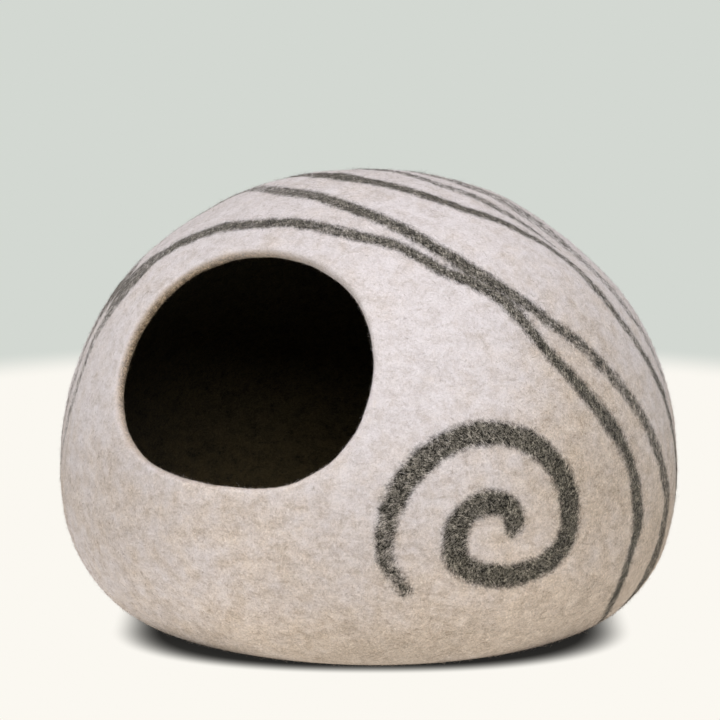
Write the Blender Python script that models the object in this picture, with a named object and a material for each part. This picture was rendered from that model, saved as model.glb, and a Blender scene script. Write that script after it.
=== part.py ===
"""A felt cat cave: one seamless hollow of thick felted wool, flat underneath, with one wide mouth.

Metres, +Z up. The origin is on the floor at the middle of the base, and the mouth faces -Y and
leans up. The wool is felted in one piece over a round form, so the whole cave is one solid: a
body of even wall whose lip is rubbed round at the mouth.
"""

import math

import bmesh
import bpy
from mathutils import Matrix, Vector

# The body's outside
HALF_WIDTH = 0.250  # middle to side
HALF_DEPTH = 0.243  # middle to front or back
WIDEST_LEVEL = 0.104  # height of the widest line above the floor
RISE = 0.2425  # widest line up to the crown
DROP = 0.151  # widest line down to where a hanging form would end, before it settles flat
CROWN_FULLNESS = 2.09  # 2 is an ellipse in side view, and more is squarer
BASE_FULLNESS = 2.40
FULLNESS_BLEND = 0.4  # height, as a share of the form, over which one fullness passes to the other
CROWN_FORWARD = 0.005  # the crown sits this far in front of the base's middle
CROWN_ASIDE = 0.0025  # and this far towards +X
FLOOR_EASE = 0.018  # height over which the side turns under onto the flat base

# The mouth, as angles seen from the middle of the widest line
MOUTH_RISE = math.radians(32.4)  # its axis above the horizon
MOUTH_TURN = math.radians(-0.5)  # its axis off the front, towards +X
MOUTH_HALF_WIDTH = math.radians(25.9)
MOUTH_HALF_HEIGHT = math.radians(23.1)
MOUTH_TWIST = math.radians(-3.4)
MOUTH_CORNERS = 0.025  # share by which the hand-cut round is fuller at the top and low at both sides
MOUTH_SQUARENESS = 0.016  # share by which it is fuller between its middles

# The felt
WALL = 0.010
LIP_ROUNDING = 0.0045  # on each edge of the wall at the mouth
LIP_STEPS = 3
LIP_EDGE_ANGLE = math.radians(60)

# The mesh
SIDES = 64  # round the mouth's axis
RINGS = 33  # from the mouth's edge to the far pole, both counted

WOOL = {"name": "light_wool", "colour": (0.66, 0.59, 0.54, 1.0), "roughness": 0.95}


def clear_scene():
    """Removes every object, so that only the cave is left."""
    for obj in list(bpy.data.objects):
        bpy.data.objects.remove(obj, do_unlink=True)


def eased(share):
    """0 to 1 with level ends."""
    share = min(max(share, 0.0), 1.0)
    return share * share * (3.0 - 2.0 * share)


def on_floor(height):
    """The height once the form has settled: flat below the floor and smooth where it turns under."""
    turning = max(FLOOR_EASE - abs(height), 0.0) / FLOOR_EASE
    return max(height, 0.0) + turning * turning * FLOOR_EASE / 4.0


def body_point(direction):
    """The point of the body's outside in a direction from the middle of the widest line."""
    blend = eased((direction.z + FULLNESS_BLEND) / (2.0 * FULLNESS_BLEND))
    fullness = BASE_FULLNESS + (CROWN_FULLNESS - BASE_FULLNESS) * blend
    across = math.hypot(direction.x, direction.y)
    reach = (across**fullness + abs(direction.z) ** fullness) ** (1.0 / fullness)
    unit = direction / reach
    crown = max(unit.z, 0.0) ** 2
    height = WIDEST_LEVEL + (RISE if unit.z > 0.0 else DROP) * unit.z
    return Vector(
        (
            HALF_WIDTH * unit.x + CROWN_ASIDE * crown,
            HALF_DEPTH * unit.y - CROWN_FORWARD * crown,
            on_floor(height),
        )
    )


def mouth_axis():
    """The direction that the mouth faces."""
    level = math.cos(MOUTH_RISE)
    return Vector(
        (math.sin(MOUTH_TURN) * level, -math.cos(MOUTH_TURN) * level, math.sin(MOUTH_RISE))
    )


def mouth_angle(turn):
    """Angle from the mouth's axis to its edge, at a turn round the axis from +X towards the crown."""
    across = math.cos(turn - MOUTH_TWIST) / MOUTH_HALF_WIDTH
    upward = math.sin(turn - MOUTH_TWIST) / MOUTH_HALF_HEIGHT
    corners = MOUTH_CORNERS * math.sin(3.0 * turn) + MOUTH_SQUARENESS * math.cos(4.0 * turn)
    return (1.0 - corners) / math.hypot(across, upward)


def mouth_turner():
    """A rotation that takes +Z to the mouth's axis and +X to its right-hand side."""
    axis = mouth_axis()
    side = Vector((0.0, 0.0, 1.0)).cross(axis).normalized()
    up = axis.cross(side)
    return Matrix((side, up, axis)).transposed()


def felt_mesh():
    """The outside of the body as an open mesh, from the mouth's edge round to the far pole."""
    felt = bmesh.new()
    bmesh.ops.create_uvsphere(felt, u_segments=SIDES, v_segments=RINGS, radius=1.0)
    near_pole = max(felt.verts, key=lambda vert: vert.co.z)
    bmesh.ops.delete(felt, geom=[near_pole], context="VERTS")

    turner = mouth_turner()
    first_ring = math.pi / RINGS
    for vert in felt.verts:
        turn = math.atan2(vert.co.y, vert.co.x)
        polar = math.acos(min(max(vert.co.z, -1.0), 1.0))
        share = (polar - first_ring) / (math.pi - first_ring)
        edge = mouth_angle(turn)
        angle = edge + (math.pi - edge) * share
        flat = Vector((math.cos(turn), math.sin(turn), 0.0)) * math.sin(angle)
        vert.co = body_point(turner @ (flat + Vector((0.0, 0.0, math.cos(angle)))))

    bmesh.ops.recalc_face_normals(felt, faces=felt.faces)
    mesh = bpy.data.meshes.new("felt_shell")
    felt.to_mesh(mesh)
    felt.free()
    mesh.shade_smooth()
    return mesh


def wool_material():
    """Undyed light wool, with no shine."""
    material = bpy.data.materials.new(WOOL["name"])
    material.use_nodes = True
    shader = material.node_tree.nodes["Principled BSDF"]
    shader.inputs["Base Color"].default_value = WOOL["colour"]
    shader.inputs["Roughness"].default_value = WOOL["roughness"]
    shader.inputs["Metallic"].default_value = 0.0
    material.diffuse_color = WOOL["colour"]
    return material


def felt_shell():
    """The cave's body: the outside thickened inwards to the wall, with a rounded lip."""
    shell = bpy.data.objects.new("felt_shell", felt_mesh())
    bpy.context.scene.collection.objects.link(shell)
    shell.data.materials.append(wool_material())

    wall = shell.modifiers.new("wall", "SOLIDIFY")
    wall.thickness = WALL
    wall.offset = -1.0
    wall.use_even_offset = True
    wall.use_rim = True

    lip = shell.modifiers.new("lip", "BEVEL")
    lip.width = LIP_ROUNDING
    lip.segments = LIP_STEPS
    lip.limit_method = "ANGLE"
    lip.angle_limit = LIP_EDGE_ANGLE
    lip.use_clamp_overlap = False
    return shell


def main():
    """Builds the cave in an empty scene."""
    clear_scene()
    felt_shell()


if __name__ == "__main__":
    main()
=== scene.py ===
"""The looks of a felt cat cave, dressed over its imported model.

One thick sheet of felted wool makes the whole cave, so one skin replaces the model's shell: light
heathered wool outside and round the lip of the mouth, brown-black wool inside, and dark bands of
wool felted flush into the outside. Loose fibres stand off it as short fuzz.

Metres, +Z up. The mouth faces -Y, and east is +X.
"""

import enum
import logging
import math
from dataclasses import dataclass, field

import bmesh
import bpy
import numpy as np
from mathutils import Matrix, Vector


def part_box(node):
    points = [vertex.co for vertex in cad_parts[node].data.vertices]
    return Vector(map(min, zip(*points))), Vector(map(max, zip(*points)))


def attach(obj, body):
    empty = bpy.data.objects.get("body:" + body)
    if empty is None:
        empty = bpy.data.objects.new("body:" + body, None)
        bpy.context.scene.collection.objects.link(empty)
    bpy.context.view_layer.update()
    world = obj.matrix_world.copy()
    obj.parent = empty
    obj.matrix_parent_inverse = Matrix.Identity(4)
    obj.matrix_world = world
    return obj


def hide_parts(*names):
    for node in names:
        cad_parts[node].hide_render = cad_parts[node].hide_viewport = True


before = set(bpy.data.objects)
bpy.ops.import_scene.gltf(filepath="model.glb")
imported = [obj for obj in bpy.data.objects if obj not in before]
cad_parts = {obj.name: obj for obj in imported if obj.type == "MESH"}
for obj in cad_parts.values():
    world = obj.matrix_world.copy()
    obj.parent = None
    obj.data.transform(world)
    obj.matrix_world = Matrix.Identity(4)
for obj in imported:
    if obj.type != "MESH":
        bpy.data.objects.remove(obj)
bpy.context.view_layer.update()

SHELL = "felt_shell"
BODY = "root"
MM = 0.001
Rgb = Xyz = tuple[float, float, float]
Inputs = dict[str | int, object]

log = logging.getLogger("felt_cave")


def linear(red: int, green: int, blue: int) -> Rgb:
    """The linear colour that a shader takes, from one as seen, with parts from 0 to 255."""
    seen = (red / 255, green / 255, blue / 255)
    return tuple(c / 12.92 if c <= 0.04045 else ((c + 0.055) / 1.055) ** 2.4 for c in seen)


def eased(share: np.ndarray) -> np.ndarray:
    """0 to 1 with level ends, elementwise."""
    share = np.clip(share, 0.0, 1.0)
    return share * share * (3.0 - 2.0 * share)


def unit(vectors: np.ndarray) -> np.ndarray:
    """The rows of an array of vectors, each made one long."""
    return vectors / np.linalg.norm(vectors, axis=-1, keepdims=True)


def heading(east_of_front: np.ndarray | float, above_level: np.ndarray | float) -> np.ndarray:
    """Unit directions from angles in degrees.

    Args:
        east_of_front: Angles round the cave, from the front towards +X.
        above_level: Angles above the widest line.

    Returns:
        The direction, or one in each row.
    """
    turn, rise = np.radians(east_of_front), np.radians(above_level)
    level = np.cos(rise)
    return np.stack([level * np.sin(turn), -level * np.cos(turn), np.sin(rise)], axis=-1)


class Tone(enum.Enum):
    """The wools that the cave is made of."""

    LIGHT = "light_wool"
    DARK = "dark_wool"


@dataclass
class Unevenness:
    """Smooth lumps left by felting: waves of many directions, added up."""

    shortest: float
    longest: float
    height: float
    seed: int
    waves: int = 28

    def at(self, places: np.ndarray) -> np.ndarray:
        """The lumps' height at each place.

        Args:
            places: One place in each row.

        Returns:
            The heights, about -height to height.
        """
        rng = np.random.default_rng(self.seed)
        ways = unit(rng.normal(size=(self.waves, 3)))
        lengths = rng.uniform(self.shortest, self.longest, self.waves)
        phases = rng.uniform(0.0, 2.0 * math.pi, self.waves)
        waves = np.cos(places @ (ways * (2.0 * math.pi / lengths)[:, None]).T + phases)
        return waves.sum(axis=1) * self.height / math.sqrt(self.waves)


@dataclass
class Form:
    """The round form that the wool is felted over: the same shape as the model's shell."""

    widest_level: float = 0.104
    drop: float = 0.151
    crown_fullness: float = 2.09
    base_fullness: float = 2.40
    fullness_blend: float = 0.4
    crown_forward: float = 0.005
    crown_aside: float = 0.0025
    floor_ease: float = 0.018
    wall: float = 0.010
    mouth_rise: float = 32.4
    mouth_turn: float = -0.5
    mouth_half_width: float = 25.9
    mouth_half_height: float = 23.1
    mouth_twist: float = -3.4
    mouth_corners: float = 0.025
    mouth_squareness: float = 0.016
    half_width: float = field(init=False)
    half_depth: float = field(init=False)
    rise: float = field(init=False)

    def __post_init__(self) -> None:
        """Takes the overall size from the model."""
        low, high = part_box(SHELL)
        self.half_width = (high[0] - low[0]) / 2.0
        self.half_depth = (high[1] - low[1]) / 2.0
        self.rise = high[2] - self.widest_level

    def outside(self, ways: np.ndarray) -> np.ndarray:
        """Points of the outside.

        Args:
            ways: Unit directions from the middle of the widest line, one in each row.

        Returns:
            The points.
        """
        blend = eased((ways[:, 2] + self.fullness_blend) / (2.0 * self.fullness_blend))
        fullness = self.base_fullness + (self.crown_fullness - self.base_fullness) * blend
        across = np.hypot(ways[:, 0], ways[:, 1])
        reach = (across**fullness + np.abs(ways[:, 2]) ** fullness) ** (1.0 / fullness)
        part = ways / reach[:, None]
        crown = np.maximum(part[:, 2], 0.0) ** 2
        height = self.widest_level + np.where(part[:, 2] > 0, self.rise, self.drop) * part[:, 2]
        turning = np.maximum(self.floor_ease - np.abs(height), 0.0) / self.floor_ease
        return np.stack(
            [
                self.half_width * part[:, 0] + self.crown_aside * crown,
                self.half_depth * part[:, 1] - self.crown_forward * crown,
                np.maximum(height, 0.0) + turning * turning * self.floor_ease / 4.0,
            ],
            axis=-1,
        )

    def facing(self, ways: np.ndarray) -> np.ndarray:
        """Outward unit normals of the outside, in the same order as the directions."""
        step = 1e-4
        side = unit(np.cross(ways, np.array([0.31, 0.52, 0.79])))
        other = np.cross(ways, side)
        here = self.outside(ways)
        first = self.outside(unit(ways + step * side)) - here
        second = self.outside(unit(ways + step * other)) - here
        normals = unit(np.cross(first, second))
        return normals * np.sign((normals * ways).sum(axis=1))[:, None]

    def mouth_axes(self) -> tuple[np.ndarray, np.ndarray, np.ndarray]:
        """The mouth's axis, its east side and its upper side, as unit vectors."""
        axis = heading(self.mouth_turn, self.mouth_rise)
        side = unit(np.cross((0.0, 0.0, 1.0), axis))
        return axis, side, np.cross(axis, side)

    def mouth_angle(self, turn: np.ndarray) -> np.ndarray:
        """Angles from the mouth's axis to its edge.

        Args:
            turn: Angles round that axis, in radians from east towards the crown.

        Returns:
            The angles, in radians.
        """
        twist = math.radians(self.mouth_twist)
        across = np.cos(turn - twist) / math.radians(self.mouth_half_width)
        upward = np.sin(turn - twist) / math.radians(self.mouth_half_height)
        corners = self.mouth_corners * np.sin(3.0 * turn) + self.mouth_squareness * np.cos(4.0 * turn)
        return (1.0 - corners) / np.hypot(across, upward)

    def round_mouth(self, turn: np.ndarray, angle: np.ndarray) -> np.ndarray:
        """Unit directions at an angle from the mouth's axis and a turn round it."""
        axis, side, up = self.mouth_axes()
        spoke = np.cos(turn)[:, None] * side + np.sin(turn)[:, None] * up
        return np.cos(angle)[:, None] * axis + np.sin(angle)[:, None] * spoke


@dataclass(frozen=True)
class Spot:
    """A round place with soft edges on the cave.

    Its middle is in degrees east of the front and above the widest line, and it ends reach degrees
    from there.
    """

    east: float
    above: float
    reach: float

    def share(self, ways: np.ndarray) -> np.ndarray:
        """How far each direction is within the spot, from 0 to 1 at its middle."""
        away = np.degrees(np.arccos(np.clip(ways @ heading(self.east, self.above), -1.0, 1.0)))
        return eased(1.0 - away / self.reach)


@dataclass(frozen=True)
class Dent(Spot):
    """A place where the hand-made form is pressed in, by its depth in millimetres."""

    depth: float


@dataclass(frozen=True)
class Cloud(Spot):
    """A broad patch where the light wool's colour changes: its change of lightness, and of warm wool. The
    patches are partly uneven tone and partly painted light and shade.
    """

    lighter: float
    warmer: float


DENTS: tuple[Dent, ...] = (
    Dent(114, 53, 18, 6.8), Dent(-60, 57, 15, 2.8), Dent(-53, 13, 15, 0.8),
    Dent(108, 9, 15, 1.2), Dent(103, -8, 16, 2.4), Dent(172, 34, 30, 3.2),
    Dent(-128, 22, 26, 3.0),
)
# Painted light and shade as well as uneven tone: patches are made lighter, darker, warmer or cooler where
# the lit cave came out too dark or too light.
CLOUDS: tuple[Cloud, ...] = (
    Cloud(-8, 64, 34, -0.06, 0.0), Cloud(36, 26, 32, 0.04, -0.1), Cloud(68, 18, 28, -0.05, 0.4),
    Cloud(-24, -2, 26, -0.02, 0.1), Cloud(8, 7, 24, 0.06, 0.15), Cloud(34, -30, 30, 0.0, 0.15),
    Cloud(86, -6, 50, 0.03, 0.3), Cloud(-38, -24, 34, 0.12, -0.4), Cloud(0, -16, 28, 0.13, -0.25),
    Cloud(36, -16, 20, 0.09, -0.1), Cloud(8, -24, 18, 0.06, 0.0), Cloud(30, 8, 26, 0.05, 0.0),
    Cloud(55, -8, 20, 0.16, 0.0), Cloud(34, -38, 20, -0.13, 0.0), Cloud(53, 22, 15, 0.05, 0.0),
    Cloud(78, 8, 14, -0.05, 0.0), Cloud(82, 33, 24, -0.08, 0.3),
)


@dataclass(frozen=True)
class Band:
    """A strip of dark wool felted into the outside.

    Each row of route is a point on its middle line: degrees east of the front, degrees above the
    widest line, width in millimetres, and how much dark wool there is, from 0 to 1.
    """

    name: str
    route: tuple[tuple[float, float, float, float], ...]
    steps: int = 14

    def line(self) -> tuple[np.ndarray, np.ndarray, np.ndarray]:
        """The middle line as a smooth run of short steps.

        Returns:
            Unit directions, widths in metres and strengths, with one row for each step.
        """
        rows = np.array(self.route)
        ways = heading(rows[:, 0], rows[:, 1])
        knots = np.concatenate([ways, rows[:, 2:3] * MM, rows[:, 3:4]], axis=1)
        before = np.vstack([2 * knots[:1] - knots[1:2], knots, 2 * knots[-1:] - knots[-2:-1]])
        share = np.linspace(0.0, 1.0, self.steps, endpoint=False)[:, None]
        spans = []
        for start in range(len(knots) - 1):
            a, b, c, d = before[start : start + 4]
            curve = 2 * b + (c - a) * share + (2 * a - 5 * b + 4 * c - d) * share**2
            spans.append(0.5 * (curve + (3 * b - a - 3 * c + d) * share**3))
        run = np.vstack([*spans, knots[-1:]])
        return unit(run[:, :3]), run[:, 3], np.clip(run[:, 4], 0.0, 1.0)


SWIRL_END = math.radians(-140.0)
SWIRL_ROWS_A_TURN = 10
SWIRL_HEART = 0.10  # the inner end's distance from the middle, as a share of the reach


def swirl(east: float, above: float, reach: float, turns: float, width: float) -> Band:
    """A plain open spiral of dark wool on the side, narrower and thinner at both tips.

    Args:
        east: Its middle, in degrees east of the front.
        above: Its middle, in degrees above the widest line.
        reach: The outer end's distance from the middle, in metres.
        turns: How often it goes round.
        width: The strip's width, in millimetres.

    Returns:
        The spiral as a band.
    """
    per_metre = math.degrees(1.0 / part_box(SHELL)[1][0])
    rows = []
    count = round(turns * SWIRL_ROWS_A_TURN)
    for step in range(count + 1):
        share = step / count
        angle = 2.0 * math.pi * turns * (share - 1.0) + SWIRL_END
        out = reach * (SWIRL_HEART + (1.0 - SWIRL_HEART) * share) * per_metre
        tip = min(1.0, 0.5 + 4.0 * (1.0 - share), 0.7 + 4.0 * share)
        middle = (east + out * math.cos(angle), above + out * math.sin(angle))
        rows.append((*middle, width * tip, 0.7 + 0.3 * tip))
    return Band("side_swirl", tuple(rows), steps=8)


BANDS: tuple[Band, ...] = (
    Band("brow_band", (
        (-64, -26, 8, 0), (-57, -6, 8, 0.1), (-50.5, 9, 8, 0.3), (-48.5, 20, 10, 0.5),
        (-50, 28, 10, 0.6), (-50, 32.5, 14, 0.65), (-50.8, 36.5, 27, 0.82), (-51.3, 40.5, 36, 0.85),
        (-50, 44.5, 29, 0.87), (-47.5, 48, 18, 0.9), (-44.8, 51, 15, 1), (-34.2, 58.3, 13, 1),
        (-16.5, 62.4, 12, 1), (-4, 63.8, 12, 1), (13, 63, 11, 0.95), (26, 61, 11, 1),
        (38.3, 58.3, 10.5, 1), (49.4, 52, 10, 1), (56.2, 48.7, 12, 1), (62, 44.6, 12, 1),
        (66.4, 36.7, 10, 1), (69.8, 30.9, 11, 1), (77, 20, 13, 1), (80, 15.5, 13, 1),
        (82.3, 11.2, 10, 1), (84, 5, 13, 1), (84.7, -1, 14.5, 1), (84, -6.5, 11, 1),
        (83, -11.5, 9, 1), (82.5, -17, 10, 1), (82.5, -25.5, 10, 1), (86.5, -35.5, 8, 0.7),
    )),
    Band("crown_band", (
        (-66, -24, 8, 0), (-61, -6, 8, 0.1), (-56, 9, 8, 0.3), (-54.5, 20, 10, 0.4),
        (-57.5, 27.5, 11, 0.5), (-59.5, 33.5, 22, 0.8), (-61, 38.5, 32, 0.85), (-69, 44, 13, 0.12),
        (-78, 50, 11, 0.1), (-80, 58, 12, 0.4), (-82, 66, 12, 0.75), (-69, 70, 11, 0.6),
        (-41, 73.3, 14, 0.9), (-7, 74, 13, 0.95), (19, 70.5, 13, 1), (34, 66.5, 13, 1),
        (49.3, 58.4, 12, 1), (57.3, 52.1, 13, 1), (63.5, 47, 12, 1), (71.7, 39.2, 10, 0.9),
        (78.2, 33.2, 11, 0.85), (86.4, 22.2, 11, 0.85), (91.8, 14.3, 12, 0.85), (96, 6, 15, 0.8),
        (100, -1.5, 19, 0.75), (100, -11.5, 25, 0.8), (97, -21.5, 27, 0.85), (95.5, -32, 20, 0.85),
    )),
    Band("ridge_band", (
        (-78, -20, 9, 0), (-86, 8, 11, 0.6), (-94, 34, 12, 0.85), (-102, 54, 12, 0.85),
        (-103, 68, 12, 0.8), (-93, 76.5, 15, 0.85), (-76, 82, 19, 1), (-28, 85, 18, 1),
        (20, 84, 15, 1), (58.5, 79.3, 13, 1), (70.7, 73, 12, 1), (78.5, 67.3, 11, 1),
        (85.3, 63.2, 11, 1), (92, 58.3, 11, 1), (97.3, 54, 12, 0.9), (99.5, 48.5, 12, 0.85),
        (98.5, 42.5, 11, 0.85), (98.8, 36, 10, 0.85), (101, 28.7, 10, 0.85), (104.5, 22, 11, 0.95),
        (108, 15, 10, 0.9), (110.3, 6.5, 10, 0.9), (113.5, -5, 10, 0.8), (117, -16, 10, 0.6),
        (120, -30, 8, 0.2),
    )),
    Band("thin_top_band", (
        (-100, -14, 8, 0), (-106, 12, 10, 0.6), (-114, 38, 11, 0.8), (-126, 62, 11, 0.8),
        (-140, 76, 11, 0.75), (-165, 83, 12, 0.7), (139, 82, 12, 0.6), (107, 76.3, 12, 0.62),
        (104, 71, 13, 0.66), (101, 66.3, 13, 0.7), (102.7, 62, 12, 0.7), (106, 57.5, 10, 0.65),
        (106, 53, 8, 0.3),
    )),
    Band("back_band", (
        (-116, -12, 8, 0), (-124, 12, 11, 0.7), (-136, 36, 12, 0.9), (-154, 56, 12, 0.9),
        (-178, 70, 12, 0.75), (166, 76, 18, 0.5), (147, 73.6, 23, 0.45), (130, 69.8, 26, 0.45),
        (125.2, 65.5, 27, 0.45), (122.6, 61, 28, 0.45), (123.6, 56.6, 28, 0.45), (122.2, 52.6, 25, 0.45),
        (118, 48.8, 21, 0.45), (113.6, 45.3, 17, 0.45), (110, 41, 15, 0.45), (109, 35, 12, 0.5),
        (110.5, 28.5, 11, 0.45), (112, 20, 9, 0.3),
    )),
    swirl(east=51.5, above=3.0, reach=0.095, turns=1.6, width=18.0),
)


@dataclass(frozen=True, eq=False)
class Value:
    """A node's output, which goes into a formula as a number does."""

    nodes: "Nodes"
    socket: bpy.types.NodeSocket

    def __add__(self, other: object) -> "Value":
        """The sum."""
        return self.nodes.maths("ADD", self, other)

    def __sub__(self, other: object) -> "Value":
        """The difference."""
        return self.nodes.maths("SUBTRACT", self, other)

    def __rsub__(self, other: object) -> "Value":
        """The difference from a number."""
        return self.nodes.maths("SUBTRACT", other, self)

    def __mul__(self, other: object) -> "Value":
        """The product."""
        return self.nodes.maths("MULTIPLY", self, other)


class Nodes:
    """A short way to add and join a material's nodes."""

    def __init__(self, name: str) -> None:
        """Starts a material of that name."""
        self.material = bpy.data.materials.new(name)
        self.material.use_nodes = True
        self.tree = self.material.node_tree
        self.shader = self.tree.nodes["Principled BSDF"]
        self.place = self.add("TexCoord", "Object", {})

    def fill(self, node: bpy.types.Node, inputs: Inputs) -> None:
        """Sets a node's inputs, or joins outputs to them.

        Args:
            node: The node.
            inputs: A value, a colour or an output for each input, by its name or number.
        """
        for name, value in inputs.items():
            socket = node.inputs[name]
            if isinstance(value, Value):
                self.tree.links.new(value.socket, socket)
            elif socket.type == "RGBA":
                socket.default_value = (*value, 1.0)
            else:
                socket.default_value = value

    def add(self, kind: str, output: str | int, inputs: Inputs, **settings: str) -> Value:
        """Adds a node.

        Args:
            kind: Its kind of shader node.
            output: Its output that is wanted, by name or number.
            inputs: What goes into its inputs.
            settings: Its own settings.

        Returns:
            The output.
        """
        node = self.tree.nodes.new(f"ShaderNode{kind}")
        for name, value in settings.items():
            setattr(node, name, value)
        self.fill(node, inputs)
        return Value(self, node.outputs[output])

    def finished(self, inputs: Inputs) -> bpy.types.Material:
        """The material, once these go into its shader's inputs."""
        self.fill(self.shader, inputs)
        return self.material

    def maths(self, operation: str, first: object, second: object = 0.0) -> Value:
        """The result of a Math node."""
        return self.add("Math", 0, {0: first, 1: second}, operation=operation)

    def most(self, first: object, *others: object) -> Value:
        """The greatest of some values."""
        for other in others:
            first = self.maths("MAXIMUM", first, other)
        return first

    def ramp(self, value: Value, start: float, end: float) -> Value:
        """0 where the value is at start and 1 where it is at end, with level ends."""
        low, high = sorted((start, end))
        at_high = float(start <= end)
        limits = {"From Min": low, "From Max": high, "To Min": 1.0 - at_high, "To Max": at_high}
        return self.add("MapRange", "Result", {"Value": value, **limits}, interpolation_type="SMOOTHSTEP")

    def colour(self, share: Value, first: object, second: object) -> Value:
        """The first colour where share is 0 and the second where it is 1."""
        return self.add("Mix", "Result", {"Factor": share, "A": first, "B": second}, data_type="RGBA")

    def shaded(self, colour: Value, light: Value) -> Value:
        """A colour made darker or lighter by a factor."""
        return self.add("VectorMath", 0, {0: colour, "Scale": light}, operation="SCALE")

    def named(self, attribute: str) -> Value:
        """The value of one of the mesh's own attributes."""
        return self.add("Attribute", "Fac", {}, attribute_name=attribute)

    def noise(
        self,
        size: float,
        detail: float = 2.0,
        bend: float = 0.0,
        stretch: Xyz | None = None,
        turn: Xyz = (0.0, 0.0, 0.0),
        fineness: float = 0.55,
        place: Value | None = None,
    ) -> Value:
        """A noise pattern with lumps of about one size.

        Args:
            size: The lumps' size, in the places' own measure.
            detail: How many finer layers it has.
            bend: How much it is pulled about.
            stretch: How many times longer the lumps are along each axis, once turned.
            turn: The pattern's rotation, in radians.
            fineness: How strong each finer layer is beside the one before it.
            place: The places that it is read at, if they aren't the piece's own in metres.

        Returns:
            The pattern, about 0 to 1.
        """
        place = place or self.place
        if stretch:
            mapping = {"Rotation": turn, "Scale": stretch, "Vector": place}
            place = self.add("Mapping", "Vector", mapping, vector_type="TEXTURE")
        inputs = {"Vector": place, "Scale": 1.0 / size, "Detail": detail, "Roughness": fineness}
        return self.add("TexNoise", "Fac", {**inputs, "Distortion": bend})

    def strands(self, size: float, width: float, bend: float, turn: Xyz, across: float = 1.5) -> Value:
        """Thin curly lines, as of fibres that lie on the felt.

        Args:
            size: How far apart they lie, in metres.
            width: Their share of that distance.
            bend: How curly they are.
            turn: The pattern's rotation, in radians.
            across: How many times longer they are across than upward.

        Returns:
            1 on a line, and 0 between lines.
        """
        noise = self.noise(size, 1.0, bend, (across, across, 1.0 / across), turn)
        return self.ramp(self.maths("ABSOLUTE", noise - 0.5), width, 0.0)


@dataclass(frozen=True)
class WoolColours:
    """One wool's fibres: its main colour, and what is mixed through it."""

    main: Rgb
    warm: Rgb
    pale: Rgb
    warm_pale: Rgb
    fleck: Rgb


LIGHT_WOOL = WoolColours(
    main=linear(215, 207, 209),
    warm=linear(208, 189, 172),
    pale=linear(246, 240, 242),
    warm_pale=linear(238, 224, 209),
    fleck=linear(144, 126, 108),
)
DARK_WOOL = WoolColours(
    main=linear(66, 62, 55),
    warm=linear(63, 58, 47),
    pale=linear(172, 164, 154),
    warm_pale=linear(160, 152, 136),
    fleck=linear(12, 11, 8),
)
INNER_WOOL = WoolColours(
    main=linear(78, 70, 48),
    warm=linear(84, 72, 46),
    pale=linear(104, 94, 70),
    warm_pale=linear(108, 94, 66),
    fleck=linear(36, 32, 20),
)
# Painted shade round the mouth's lip: these two colours turn the light wool tan and then brown. They
# stand mostly for shade and a little for tan wool.
SHADED_LIP_TAN = linear(200, 176, 147)
LIP_SHADE = linear(108, 87, 62)


# Partly painted light and shade: from COOL_ABOVE down to WARM_BELOW the wool turns to its warmer, darker
# colours, standing in part for warm light bounced from the floor and for shade low down.
WARM_BELOW = -0.02  # metres above the floor
COOL_ABOVE = 0.24
STROKE_WIDTH = 1.2  # millimetres, as is the length
STROKE_LENGTH = 3.2
STROKE_LEAN = 0.8  # along the band, as a share of the length


def warmth(nodes: Nodes) -> Value:
    """How much of the wool's warmer, darker colours there is: more towards the base, in soft patches.
    Reads warmer. The rise towards the base is partly painted warm bounce light and shade.
    """
    low = nodes.ramp(nodes.add("SeparateXYZ", "Z", {0: nodes.place}), COOL_ABOVE, WARM_BELOW)
    patches, spots = nodes.noise(0.07, 3.0) - 0.5, nodes.noise(0.014) - 0.5
    return nodes.ramp(low * 0.80 + (patches * 0.75 + spots * 0.75 + nodes.named("warmer")), -0.15, 1.0)


class FeltPatterns:
    """The patterns that run through the felt, each about 0 to 1, and the wool mixed by them."""

    def __init__(self, nodes: Nodes) -> None:
        """Adds the patterns to a material."""
        self.nodes = nodes
        self.warmth = warmth(nodes)
        self.rough = self.warmth * 0.54 + 0.46
        self.mottle = nodes.noise(0.0095, 4.0, 0.5, (1.4, 1.4, 0.9), fineness=0.8)
        self.fine = nodes.strands(0.0028, 0.09, 1.0, (0.9, 0.4, 0.2), 1.35)
        coarse = nodes.strands(0.0044, 0.08, 1.2, (0.3, 0.0, 0.2), 1.35)
        self.curls = nodes.most(coarse, self.fine * 0.9)
        long_hairs = nodes.strands(0.0040, 0.08, 1.2, (0.2, 1.1, 0.5))
        short_hairs = nodes.strands(0.0027, 0.08, 1.0, (1.2, 0.3, 0.8))
        here_and_there = nodes.ramp(nodes.noise(0.009), 0.38, 0.60)
        self.hairs = nodes.most(long_hairs, short_hairs) * here_and_there
        self.grain = nodes.noise(0.0016, 1.0, 0.3, fineness=0.9)
        self.speckle = nodes.noise(0.0021, 2.0, 0.9, fineness=0.9)
        self.comb = self.combed()
        self.clumps = nodes.noise(0.0055, 2.0, 0.6) - 0.5
        self.strokes = self.comb + (self.speckle - 0.5) * 0.8 + self.clumps * 0.6

    def combed(self) -> Value:
        """Short leaning strokes across the bands, as of fibres that lie over their edges."""
        aside = self.nodes.named("band_aside")
        along = self.nodes.named("band_along") + aside * STROKE_LEAN
        across = aside * (STROKE_WIDTH / STROKE_LENGTH)
        place = self.nodes.add("CombineXYZ", "Vector", {"X": along, "Y": across})
        return self.nodes.noise(STROKE_WIDTH, bend=1.1, fineness=0.7, place=place)

    def mixed(self, wool: WoolColours, spots: Value, strands: Value, flecks: Value) -> Value:
        """One wool's colour.

        Args:
            wool: The wool's colours.
            spots: Small soft darker spots, 0 to 1.
            strands: Pale fibres, 0 to 1.
            flecks: Dark fibres, 0 to 1.

        Returns:
            The colour.
        """
        mix = self.nodes.colour
        ground = mix(spots, mix(self.warmth, wool.main, wool.warm), wool.fleck)
        ground = mix(flecks, ground, wool.fleck)
        return mix(strands, ground, mix(self.warmth, wool.pale, wool.warm_pale))


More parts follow.
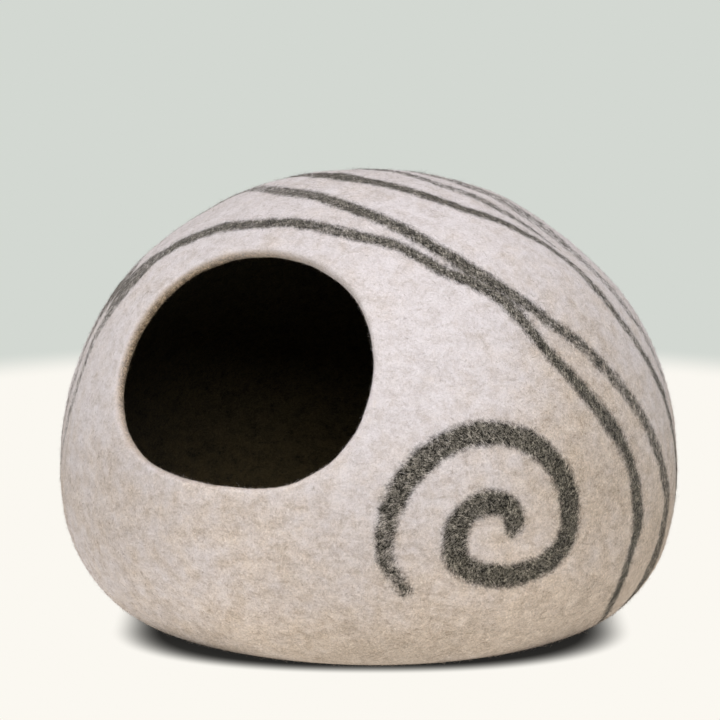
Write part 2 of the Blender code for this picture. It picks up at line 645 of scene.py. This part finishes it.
@dataclass(frozen=True)
class FeltFinish:
    """Felted wool: light outside, dark in the bands and inside. Distances are in millimetres."""

    spots: float = 0.72
    wisps: float = 0.6
    curls: float = 0.3
    pale_specks: float = 0.8
    dark_specks: float = 0.62
    hairs: float = 0.3
    edge_out: float = 3.8
    edge_in: float = -2.9
    edge_fray: float = 6.6
    edge_specks: float = 4.0
    edge_clumps: float = 4.5
    edge_wander: float = 4.0
    gappy: float = 6.0
    halo_reach: float = 9.0
    halo_share: float = 0.16
    # The lip's painted shade, with a little tan: where it begins, how ragged it is, and how far back it
    # sits where the shade is weak. Then where the dark inside wool starts.
    lip_start: float = -11.5
    lip_tan: float = -2.0
    lip_specks: float = 22.0
    unshaded_back: float = 4.0
    unshaded_inner: float = 1.5
    dark_start: float = 2.4
    dark_end: float = 6.4
    dark_specks_reach: float = 9.0
    dark_mottle_reach: float = 8.0

    def light(self, felt: FeltPatterns) -> Value:
        """The outside's light wool."""
        nodes, rough = felt.nodes, felt.rough
        spots = nodes.ramp(felt.mottle, 0.60, 0.28) * self.spots
        wisps = nodes.most(
            nodes.ramp(felt.mottle, 0.46, 0.78) * self.wisps,
            felt.curls * self.curls,
            nodes.ramp(felt.speckle, 0.54, 0.72) * self.pale_specks,
        )
        flecks = nodes.ramp(felt.speckle, 0.46, 0.30) * self.dark_specks
        flecks = nodes.most(flecks, felt.hairs * self.hairs)
        return felt.mixed(LIGHT_WOOL, spots * rough, wisps * rough, flecks * rough)

    def dark(self, felt: FeltPatterns) -> Value:
        """The bands' dark wool."""
        nodes = felt.nodes
        pale = nodes.most(nodes.ramp(felt.strokes, 0.54, 0.73), felt.fine * 0.4)
        spots, flecks = nodes.ramp(felt.mottle, 0.58, 0.32), nodes.ramp(felt.strokes, 0.53, 0.37)
        return felt.mixed(DARK_WOOL, spots, pale, flecks)

    def banded(self, felt: FeltPatterns) -> Value:
        """The outside: light wool, and dark bands that are hairs and gaps where they are thin."""
        nodes, specks = felt.nodes, felt.speckle - 0.5
        fray = (felt.comb - 0.5) * self.edge_fray + specks * self.edge_specks
        fray = fray + felt.clumps * self.edge_clumps
        wander = (nodes.noise(0.012, 1.0) - 0.5) * self.edge_wander
        edge = nodes.named("band_edge") + fray + wander
        halo = nodes.ramp(edge, self.halo_reach, 0.0) * nodes.ramp(felt.speckle, 0.55, 0.35)
        cover = nodes.most(nodes.ramp(edge, self.edge_out, self.edge_in), halo * self.halo_share)
        depth = nodes.named("band_depth")
        tufts = felt.strokes + felt.clumps * 1.2
        patchy = depth + (0.5 - tufts) * (depth * (1.0 - depth) * self.gappy)
        share = cover * nodes.most(nodes.maths("MINIMUM", patchy, 1.0), 0.0)
        return nodes.colour(share, self.light(felt), self.dark(felt))

    def material(self) -> bpy.types.Material:
        """The felt's material, which reads the skin's attributes."""
        nodes = Nodes("felted_wool")
        felt = FeltPatterns(nodes)
        specks, lip_tan_and_shade = felt.speckle - 0.5, nodes.named("lip_tan_and_shade")
        kept = 1.0 - lip_tan_and_shade
        uneven = (felt.mottle - 0.5) * self.dark_mottle_reach
        depth = nodes.named("inward") + specks * self.dark_specks_reach + uneven

        # Painted shade round the lip, with a little tan: the named weight is how much there is, and kept
        # is the rest.
        start = depth + uneven - kept * self.unshaded_back
        turning = nodes.ramp(start, self.lip_start, self.lip_tan) * lip_tan_and_shade
        shade = nodes.ramp(start + specks * self.lip_specks, self.lip_tan - 2.0, self.dark_start)
        colour = nodes.colour(turning, self.banded(felt), nodes.colour(shade, SHADED_LIP_TAN, LIP_SHADE))
        within = nodes.ramp(depth - kept * self.unshaded_inner, self.dark_start, self.dark_end)
        spots = nodes.ramp(felt.mottle, 0.6, 0.3)
        inner = felt.mixed(INNER_WOOL, spots, felt.curls * 0.4, felt.hairs * 0.5)
        colour = nodes.colour(within, colour, inner)

        grain = (felt.grain * 0.80 - 0.40) * nodes.most(felt.rough, turning * 2.2)
        relief = felt.curls * 0.3 + felt.grain * 0.7 + felt.mottle * 1.2
        raised = {"Strength": 0.6, "Distance": 0.0006, "Height": relief}
        return nodes.finished(
            {
                "Base Color": nodes.shaded(colour, grain + 1.0 + nodes.named("lighter")),
                "Roughness": 0.98 - felt.curls * 0.1,
                "Sheen Weight": 0.2,
                "Sheen Roughness": 0.6,
                "Sheen Tint": linear(240, 232, 226),
                "Specular IOR Level": 0.12,
                "Normal": nodes.add("Bump", "Normal", raised),
            }
        )


@dataclass(frozen=True)
class FuzzFinish:
    """Loose fibres, each of its own shade."""

    tone: Tone

    def material(self) -> bpy.types.Material:
        """The fibres' material, which reads each fibre's shade, lighter, warmer and shaded_tan: lighter
        and warmer carry the skin's tone with its painted light and shade, and shaded_tan the lip's
        painted shade.
        """
        wool = LIGHT_WOOL if self.tone is Tone.LIGHT else DARK_WOOL
        nodes = Nodes(f"{self.tone.value}_fibre")
        shade, warm = nodes.named("shade"), warmth(nodes)
        main = nodes.colour(warm, wool.main, wool.warm)
        pale = nodes.colour(warm, wool.pale, wool.warm_pale)
        colour = nodes.colour(nodes.ramp(shade, 0.0, 0.3), wool.fleck, main)
        colour = nodes.colour(nodes.ramp(shade, 0.5, 1.0), colour, pale)
        # Painted shade, with a little tan, on fibres round the lip.
        colour = nodes.colour(nodes.named("shaded_tan"), colour, SHADED_LIP_TAN)
        return nodes.finished(
            {
                "Base Color": nodes.shaded(colour, nodes.named("lighter") + 1.0),
                "Roughness": 0.95 - shade * 0.15,
                "Specular IOR Level": 0.1,
            }
        )


def add_numbers(mesh: bpy.types.Mesh, name: str, values: np.ndarray) -> None:
    """Stores one number for each vertex of a mesh, which a material reads by its name."""
    layer = mesh.attributes.new(name, "FLOAT", "POINT")
    layer.data.foreach_set("value", values.astype(np.float32))


def numbers_of(mesh: bpy.types.Mesh, name: str) -> np.ndarray:
    """The numbers that add_numbers stored on a mesh."""
    values = np.empty(len(mesh.vertices), np.float32)
    mesh.attributes[name].data.foreach_get("value", values)
    return values.astype(np.float64)


def places_of(mesh: bpy.types.Mesh) -> np.ndarray:
    """A mesh's vertices, one in each row."""
    places = np.empty(len(mesh.vertices) * 3, np.float32)
    mesh.vertices.foreach_get("co", places)
    return places.reshape(-1, 3).astype(np.float64)


def linked(name: str, data: bpy.types.ID) -> bpy.types.Object:
    """A new object in the scene that holds a mesh, a light or a camera."""
    thing = bpy.data.objects.new(name, data)
    bpy.context.scene.collection.objects.link(thing)
    return thing


def placed(name: str, mesh: bpy.types.Mesh) -> bpy.types.Object:
    """A new object at the origin that holds the mesh, and rides on the cave's body."""
    piece = linked(name, mesh)
    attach(piece, BODY)
    return piece


def ball(steps: int, rings: int) -> tuple[np.ndarray, np.ndarray, list[list[int]]]:
    """A ball's mesh in an order that is the same each run, since fibres are drawn by that order.

    Args:
        steps: How many vertices go round each ring.
        rings: How many bands of faces lie between the poles.

    Returns:
        Each vertex's angle and its ring from the first pole, with the poles last, and the faces.
    """
    turn = np.tile(np.linspace(-math.pi, math.pi, steps, endpoint=False), rings - 1)
    ring = np.repeat(np.arange(1.0, rings), steps)
    here = np.arange(len(turn)).reshape(-1, steps)
    ahead = np.roll(here, -1, axis=1)
    quads = np.stack([here[:-1], here[1:], ahead[1:], ahead[:-1]], axis=-1).reshape(-1, 4)
    poles = np.repeat([[len(turn)], [len(turn) + 1]], steps, axis=1)
    first = np.stack([poles[0], here[0], ahead[0]], axis=-1)
    last = np.stack([poles[1], ahead[-1], here[-1]], axis=-1)
    faces = [*first.tolist(), *quads.tolist(), *last.tolist()]
    return np.append(turn, (0.0, 0.0)), np.append(ring, (0.0, rings)), faces


@dataclass
class FeltSkin:
    """The cave's felt: a closed skin over the outside, round the lip and over the inside."""

    form: Form
    bands: tuple[Band, ...]
    round_steps: int = 352
    outer_rings: int = 190
    lip_rings: int = 16
    inner_rings: int = 56
    portions: int = 24
    far: float = 60.0
    lip_squareness: float = 2.7
    under_fuzz: float = 0.0015
    lip_ease: float = 0.040
    # The lip's painted shade, with a little tan, is weighted by how far the lip faces east and downward.
    tan_and_shade_middle: float = 0.30
    tan_and_shade_east: float = 0.68
    tan_and_shade_up: float = -0.32
    painted_lip_light: float = 0.3
    clouds: tuple[Cloud, ...] = CLOUDS
    dents: tuple[Dent, ...] = DENTS
    lip_waver: Unevenness = field(default_factory=lambda: Unevenness(0.020, 0.060, 0.0002, seed=9))
    lumps: tuple[Unevenness, ...] = (
        Unevenness(0.070, 0.150, 0.0005, seed=3),
        Unevenness(0.022, 0.045, 0.0002, seed=5),
    )
    piece: bpy.types.Object = field(init=False)

    def build(self) -> None:
        """Makes the skin and its attributes."""
        turn, ring, faces = ball(self.round_steps, self.outer_rings + self.lip_rings + self.inner_rings)
        places, outward, inward, ways = self.wrapped(turn, ring)
        places = self.uneven(places, outward, ways, inward)
        mesh = bpy.data.meshes.new("felt_skin")
        mesh.from_pydata(places.tolist(), [], faces)
        mesh.shade_smooth()
        marks = self.band_cover(self.form.outside(ways), inward)
        marks["inward"] = np.clip(inward / MM, -self.far, self.far)
        # Painted shade on the lip, with a little tan: more where the lip faces east and downward.
        lip_tan_and_shade = self.tan_and_shade_middle + self.tan_and_shade_east * outward[:, 0] + self.tan_and_shade_up * outward[:, 2]
        marks["lip_tan_and_shade"] = np.clip(lip_tan_and_shade, 0.05, 0.95)
        # From 11 mm outside the lip's crest to 8 mm inside it
        on_lip = eased((inward / MM + 11.0) / 7.0) * eased((8.0 - inward / MM) / 6.0)
        # Painted light on the lip's downward faces, where the lip's painted shade is weak.
        painted_light_under = on_lip * (1.0 - marks["lip_tan_and_shade"]) * np.maximum(0.3 - outward[:, 2], 0.0)
        # The clouds' painted light and shade, with uneven tone.
        lighter = sum(cloud.lighter * cloud.share(ways) for cloud in self.clouds)
        marks["lighter"] = lighter + self.painted_lip_light * painted_light_under
        marks["warmer"] = sum(cloud.warmer * cloud.share(ways) for cloud in self.clouds)
        for name, values in marks.items():
            add_numbers(mesh, name, values)
        mesh.update()
        self.piece = placed("felt_skin", mesh)

    def wrapped(self, turn: np.ndarray, ring: np.ndarray) -> tuple[np.ndarray, ...]:
        """Lays a ball's rings over the outside, round the lip and over the inside.

        Args:
            turn: Each vertex's angle round the mouth's axis, in radians.
            ring: Its ring, counted from the middle of the inside.

        Returns:
            Places, outward directions, distances in from the lip's crest, and form directions.
        """
        form, half = self.form, self.form.wall / 2.0
        lip_start = self.inner_rings
        lip_end = lip_start + self.lip_rings
        edge = form.mouth_angle(turn)
        rim = form.outside(form.round_mouth(turn, edge))
        from_middle = np.linalg.norm(rim - (0.0, 0.0, form.widest_level), axis=1)
        start = edge + (half + self.lip_waver.at(rim)) / from_middle

        over_outside = np.clip((ring - lip_end) / self.outer_rings, 0.0, 1.0)
        over_inside = np.clip((lip_start - ring) / lip_start, 0.0, 1.0)
        angle = start + (math.pi - start) * np.maximum(over_outside, over_inside)
        ways = form.round_mouth(turn, angle)
        facing = form.facing(ways)

        axis = form.mouth_axes()[0]
        towards = unit(axis - (facing @ axis)[:, None] * facing)
        bend = np.clip((lip_end - ring) / self.lip_rings, 0.0, 1.0) * math.pi
        over = np.sign(np.cos(bend)) * np.abs(np.cos(bend)) ** (2.0 / self.lip_squareness)
        ahead = np.abs(np.sin(bend)) ** (2.0 / self.lip_squareness)
        offset = over[:, None] * facing + ahead[:, None] * towards
        run = from_middle * (angle - start)
        inward = np.where(ring > lip_start, (bend - math.pi / 2.0) * half, math.hypot(half, half) + run)
        inward = np.where(over_outside > 0.0, -math.pi / 2.0 * half - run, inward)
        return form.outside(ways) - facing * half + offset * half, unit(offset), inward, ways

    def uneven(
        self, places: np.ndarray, outward: np.ndarray, ways: np.ndarray, inward: np.ndarray
    ) -> np.ndarray:
        """The places moved by the felt's lumps and dents, and kept level where the cave rests.

        Args:
            places: Places on the smooth skin.
            outward: The skin's outward directions.
            ways: The form's directions.
            inward: Distances in from the lip's crest.

        Returns:
            The moved places.
        """
        height = sum(lumps.at(places) for lumps in self.lumps)
        height = height - self.under_fuzz * eased(-inward / self.lip_ease)
        pressed = sum(dent.depth * MM * dent.share(ways) for dent in self.dents)
        above_floor = eased(places[:, 2] / (2.0 * self.form.wall))[:, None]
        return places + above_floor * (outward * height[:, None] - ways * pressed[:, None])

    def band_cover(self, outside: np.ndarray, inward: np.ndarray) -> dict[str, np.ndarray]:
        """How each place lies to the bands.

        Args:
            outside: Places on the smooth form.
            inward: Distances in from the lip's crest.

        Returns:
            The distance out from the nearest band's edge, that band's strength, and the distances
            along it and aside from its middle line. Distances are in millimetres.
        """
        nearest = np.full(len(outside), self.far)
        strength, along, aside = np.zeros((3, len(outside)))
        for band in self.bands:
            ways, widths, depths = band.line()
            line = self.form.outside(ways)
            tangents = unit(np.gradient(line, axis=0))
            sides = unit(np.cross(ways, tangents))
            run = np.concatenate([[0.0], np.linalg.norm(np.diff(line, axis=0), axis=1).cumsum()])
            for part in np.array_split(np.arange(len(outside)), self.portions):
                gaps = np.linalg.norm(outside[part][:, None] - line[None], axis=2)
                edge = gaps - widths[None] / 2.0
                best = edge.argmin(axis=1)
                found = edge[np.arange(len(part)), best] / MM
                closer = found < nearest[part]
                hit, step = part[closer], best[closer]
                offset = outside[hit] - line[step]
                nearest[hit] = found[closer]
                strength[hit] = depths[step]
                along[hit] = (run[step] + (offset * tangents[step]).sum(axis=1)) / MM
                aside[hit] = (offset * sides[step]).sum(axis=1) / MM
        nearest = np.where(inward < 0.0, nearest, self.far)
        return {"band_edge": nearest, "band_depth": strength, "band_along": along, "band_aside": aside}

    def dress(self) -> None:
        """Gives the skin its wool and hides the model's shell."""
        self.piece.data.materials.append(FeltFinish().material())
        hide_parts(SHELL)


@dataclass(frozen=True)
class Roots:
    """Where fibres grow, with a row for each fibre."""

    places: np.ndarray
    outward: np.ndarray
    length_share: np.ndarray
    marks: dict[str, np.ndarray]


@dataclass
class Fuzz:
    """Short loose fibres that lie on the felt and stand off it, joined in one mesh."""

    name: str
    tone: Tone
    skin: FeltSkin
    seed: int
    count: int = 19000
    length: float = 0.0052
    length_spread: float = 0.35
    thickness: float = 0.00019
    lift: float = 0.10
    standing: float = 0.45
    curl: float = 0.8
    standing_share: float = 0.52
    sides: int = 3
    parts: int = 2
    over_dark: float = 0.30
    over_band_edge: float = 2.0
    floor_gap: float = 0.0003
    floor_clear: float = 0.002
    lip_share: float = 0.35
    lip_from: float = -60.0
    lip_to: float = 1.0
    piece: bpy.types.Object = field(init=False)

    def straight(self) -> tuple[np.ndarray, list[tuple[int, ...]]]:
        """One straight tapered fibre, one thick and one long, from which all are bent.

        Returns:
            Its vertices, with the height as the share of its length, and its faces.
        """
        fibre = bmesh.new()
        bmesh.ops.create_cone(fibre, cap_ends=True, segments=self.sides, radius1=0.5, depth=1.0)
        bmesh.ops.translate(fibre, verts=fibre.verts, vec=(0.0, 0.0, 0.5))
        for cut in range(1, self.parts):
            geometry = [*fibre.verts, *fibre.edges, *fibre.faces]
            level = (0.0, 0.0, cut / self.parts)
            bmesh.ops.bisect_plane(fibre, geom=geometry, plane_co=level, plane_no=(0.0, 0.0, 1.0))
        fibre.verts.index_update()
        points = np.array([tuple(vert.co) for vert in fibre.verts])
        faces = [tuple(vert.index for vert in face.verts) for face in fibre.faces]
        fibre.free()
        left = 1.0 - points[:, 2:3]
        points[:, :2] *= np.where(left > 0.0, (0.35 + 0.65 * left) / np.maximum(left, 1e-6), 1.0)
        return points, faces

    def roots(self, rng: np.random.Generator) -> Roots:
        """Random places on the skin that suit this wool.

        Args:
            rng: The source of chance.

        Returns:
            The roots.
        """
        mesh = self.skin.piece.data
        mesh.calc_loop_triangles()
        corners = np.empty(len(mesh.loop_triangles) * 3, np.int32)
        mesh.loop_triangles.foreach_get("vertices", corners)
        corners = corners.reshape(-1, 3)
        edge, depth, inward, lip_tan_and_shade, lighter, warmer = (
            numbers_of(mesh, name)[corners].mean(axis=1)
            for name in ("band_edge", "band_depth", "inward", "lip_tan_and_shade", "lighter", "warmer")
        )
        first, second, third = places_of(mesh)[corners.T]
        cross = np.cross(second - first, third - first)
        size = np.linalg.norm(cross, axis=1)
        in_band = eased((self.over_band_edge - edge) / (2.0 * self.over_band_edge)) * depth
        share = in_band if self.tone is Tone.DARK else 1.0 - (1.0 - self.over_dark) * in_band
        grows = (inward <= self.lip_to) & (inward >= self.lip_from)
        chance = share * size * grows * (first[:, 2] > self.floor_clear)
        picked = rng.choice(len(size), self.count, p=chance / chance.sum())
        a, b = rng.uniform(size=(2, self.count, 1))
        over = a + b > 1.0
        a, b = np.where(over, 1.0 - a, a), np.where(over, 1.0 - b, b)
        root = first[picked] + a * (second - first)[picked] + b * (third - first)[picked]
        near_lip = eased((inward[picked] + 16.0) / 12.0)
        shares = 1.0 - (1.0 - self.lip_share) * near_lip
        # The lip's painted shade, with a little tan, for fibres that grow there.
        shaded_tan = lip_tan_and_shade[picked] * eased((inward[picked] + 6.0) / 5.0)
        marks = {"lighter": lighter[picked], "warmer": warmer[picked], "shaded_tan": shaded_tan}
        return Roots(root, unit(cross[picked]), shares, marks)

    def bent(self, rng: np.random.Generator, pattern: np.ndarray, roots: Roots) -> np.ndarray:
        """Every fibre's vertices, laid on the skin.

        Args:
            rng: The source of chance.
            pattern: The straight fibre's vertices.
            roots: Where the fibres grow.

        Returns:
            The vertices, as an array of fibres by vertices by three.
        """
        count, out = self.count, roots.outward
        side = unit(np.cross(out, rng.normal(size=(count, 3))))
        along = np.cross(side, out)
        length = self.length * rng.lognormal(0.0, self.length_spread, (count, 1, 1))
        length = length * roots.length_share[:, None, None]
        upright = rng.uniform(size=(count, 1, 1)) < self.standing
        lift = np.where(upright, rng.uniform(0.3, 0.75, (count, 1, 1)), self.lift)
        length = np.where(upright, self.standing_share * length, length)
        curl = self.curl * rng.normal(size=(count, 1, 1))
        thick = self.thickness * rng.uniform(0.55, 1.25, (count, 1, 1))
        thick = np.where(upright, 0.6 * thick, thick)

        share = pattern[None, :, 2:3]
        arc = curl * share * 2.0
        forward = np.where(np.abs(curl) < 1e-3, share, np.sin(arc) / (2.0 * curl + 1e-9))
        sideways = (1.0 - np.cos(arc)) / (2.0 * curl + 1e-9)
        rise = lift * (1.5 * share - 0.5 * share**2) - 0.2 * MM / self.length * (1.0 - share)
        side, along, out = side[:, None], along[:, None], out[:, None]
        points = roots.places[:, None] + length * (forward * along + sideways * side + rise * out)
        points = points + thick * (pattern[None, :, 0:1] * side + pattern[None, :, 1:2] * out)
        points[:, :, 2] = np.maximum(points[:, :, 2], self.floor_gap)
        return points

    def build(self) -> None:
        """Makes the fibres, as copies of one bent each its own way."""
        rng = np.random.default_rng(self.seed)
        pattern, faces = self.straight()
        roots = self.roots(rng)
        points = self.bent(rng, pattern, roots).reshape(-1, 3)
        loops = np.concatenate(faces)
        sizes = np.array([len(face) for face in faces])
        starts = np.concatenate([[0], np.cumsum(sizes)[:-1]])
        order = np.arange(self.count)[:, None]
        mesh = bpy.data.meshes.new(self.name)
        mesh.vertices.add(len(points))
        mesh.vertices.foreach_set("co", points.astype(np.float32).ravel())
        mesh.loops.add(len(loops) * self.count)
        mesh.loops.foreach_set("vertex_index", (order * len(pattern) + loops).astype(np.int32).ravel())
        mesh.polygons.add(len(faces) * self.count)
        mesh.polygons.foreach_set("loop_start", (order * len(loops) + starts).astype(np.int32).ravel())
        mesh.update(calc_edges=True)
        mesh.shade_smooth()
        for name, values in {"shade": rng.uniform(size=self.count), **roots.marks}.items():
            add_numbers(mesh, name, np.repeat(values, len(pattern)))
        self.piece = placed(self.name, mesh)

    def dress(self) -> None:
        """Gives the fibres their wool."""
        self.piece.data.materials.append(FuzzFinish(self.tone).material())


@dataclass
class Studio:
    """A plain pale floor with a painted shadow under the cave, soft light and the camera.

    Each lamp has a name, a side in degrees east of the front, a height in degrees, and its watts.
    """

    azimuth: float = 29.1
    elevation: float = 12.95
    distance: float = 2.5
    lens: float = 156.7
    lamp_distance: float = 2.6
    lamp_size: float = 1.2
    air_light: float = 0.14
    lamps: tuple[tuple[str, float, float, float], ...] = (
        ("key_light", 27.0, 38.0, 33.0),
        ("top_light", 20.0, 80.0, 38.0),
        ("left_light", -60.0, 8.0, 11.0),
        ("right_light", 115.0, 40.0, 6.0),
    )
    aim: Vector = field(default_factory=lambda: Vector((0.0, 0.0, 0.19)))
    aim_aside: float = -0.0067
    aim_up: float = 0.0042
    floor_half: float = 30.0
    # The painted shadow under the cave: its reaches, width, depth before and behind, offset and
    # squareness.
    shade_reach: float = 0.123
    clear_reach: float = 0.192
    shade_width: float = 1.065
    shade_front: float = 0.593
    shade_rear: float = 1.50
    shade_forward: float = 0.0908
    shade_aside: float = 0.0027
    shade_squareness: float = 2.3
    paper_reach: float = 0.84
    haze_reach: float = 0.97
    # floor_shade is the painted shadow's dark colour.
    floor_shade: Rgb = linear(40, 40, 38)
    floor_near: Rgb = linear(251, 248, 241)
    floor_far: Rgb = linear(211, 216, 210)
    sky: Rgb = linear(236, 236, 232)

    def floor(self) -> None:
        """The floor: a painted soft shadow under the cave, where it is dark and doesn't glow, evenly
        glowing warm white round it, and greyer far off.
        """
        plane = bmesh.new()
        bmesh.ops.create_grid(plane, x_segments=2, y_segments=2, size=self.floor_half)
        mesh = bpy.data.meshes.new("studio_floor")
        plane.to_mesh(mesh)
        plane.free()
        nodes = Nodes("studio_paper")
        away = nodes.add("VectorMath", "Value", {0: nodes.place}, operation="LENGTH")
        far = nodes.ramp(away, self.paper_reach, self.haze_reach)
        clear = self.clear_of_shade(nodes)
        paper = {
            "Base Color": nodes.colour(clear, self.floor_shade, (0.0, 0.0, 0.0)),
            "Roughness": 0.9,
            "Specular IOR Level": 0.0,
            "Emission Color": nodes.colour(far, self.floor_near, self.floor_far),
            "Emission Strength": clear,
        }
        ground = linked("studio_floor", mesh)
        ground.data.materials.append(nodes.finished(paper))

    def clear_of_shade(self, nodes: Nodes) -> Value:
        """0 in the painted shadow under the cave, 1 well clear of it, and a soft passage between them.
        The shadow is a rounded patch set forward of the cave towards the camera; the lamps don't cast it.
        """
        forward = Vector(heading(self.azimuth, 0.0)) * self.shade_forward
        aside = Vector(heading(self.azimuth + 90.0, 0.0)) * self.shade_aside
        place = {"Location": forward + aside, "Rotation": (0.0, 0.0, math.radians(self.azimuth))}
        turned = nodes.add("Mapping", "Vector", {**place, "Vector": nodes.place}, vector_type="TEXTURE")
        east, north = (nodes.add("SeparateXYZ", axis, {0: turned}) for axis in "XY")
        across = nodes.maths("ABSOLUTE", east) * (1.0 / self.shade_width)
        along = nodes.most(north * (-1.0 / self.shade_front), north * (1.0 / self.shade_rear))
        squareness = self.shade_squareness
        powers = nodes.maths("POWER", across, squareness) + nodes.maths("POWER", along, squareness)
        reach = nodes.maths("POWER", powers, 1.0 / squareness)
        clear = nodes.maths("POWER", nodes.ramp(reach, self.shade_reach, self.clear_reach), 5.0)
        return nodes.most(clear, 0.02)

    def lights(self) -> None:
        """A soft key near the camera, a top light, two weak ones aside, and light from all round."""
        for name, azimuth, elevation, power in self.lamps:
            light = bpy.data.lights.new(name, "AREA")
            light.size = self.lamp_size
            light.energy = power
            stand = linked(name, light)
            back = Vector(heading(azimuth, elevation))
            stand.location = self.aim + back * self.lamp_distance
            stand.rotation_euler = back.to_track_quat("Z", "Y").to_euler()
        world = bpy.data.worlds.new("studio_air")
        world.use_nodes = True
        air = world.node_tree.nodes["Background"]
        air.inputs["Color"].default_value = (*self.sky, 1.0)
        air.inputs["Strength"].default_value = self.air_light
        bpy.context.scene.world = world

    def camera(self) -> None:
        """The camera, at the angle from which the cave is seen."""
        lens = bpy.data.cameras.new("camera")
        lens.lens = self.lens
        eye = linked("camera", lens)
        back = Vector(heading(self.azimuth, self.elevation))
        right = Vector((-back.y, back.x, 0.0)).normalized()
        up = back.cross(right)
        eye.location = self.aim + back * self.distance
        look = self.aim + right * self.aim_aside + up * self.aim_up - eye.location
        eye.rotation_euler = look.to_track_quat("-Z", "Y").to_euler()
        bpy.context.scene.camera = eye

    def build(self) -> None:
        """Sets the whole studio up."""
        self.floor()
        self.lights()
        self.camera()
        bpy.context.scene.view_settings.view_transform = "Standard"


def main() -> None:
    """Builds the cave and its studio."""
    logging.basicConfig(level=logging.INFO, format="%(message)s")
    Studio().build()
    skin = FeltSkin(Form(), BANDS)
    fuzz = [
        Fuzz("light_fuzz_first", Tone.LIGHT, skin, seed=11),
        Fuzz("light_fuzz_second", Tone.LIGHT, skin, seed=12),
        Fuzz("light_fuzz_third", Tone.LIGHT, skin, seed=13),
        Fuzz("dark_fuzz", Tone.DARK, skin, seed=14),
        Fuzz(
            "lip_fuzz",
            Tone.LIGHT,
            skin,
            seed=15,
            count=7000,
            length=0.0030,
            thickness=0.00024,
            standing=0.35,
            standing_share=0.7,
            parts=1,
            lip_share=1.0,
            lip_from=-5.0,
            lip_to=3.5,
        ),
    ]
    for wool in (skin, *fuzz):
        wool.build()
        wool.dress()
        log.info("%s: %d faces", wool.piece.name, len(wool.piece.data.polygons))


if __name__ == "__main__":
    main()
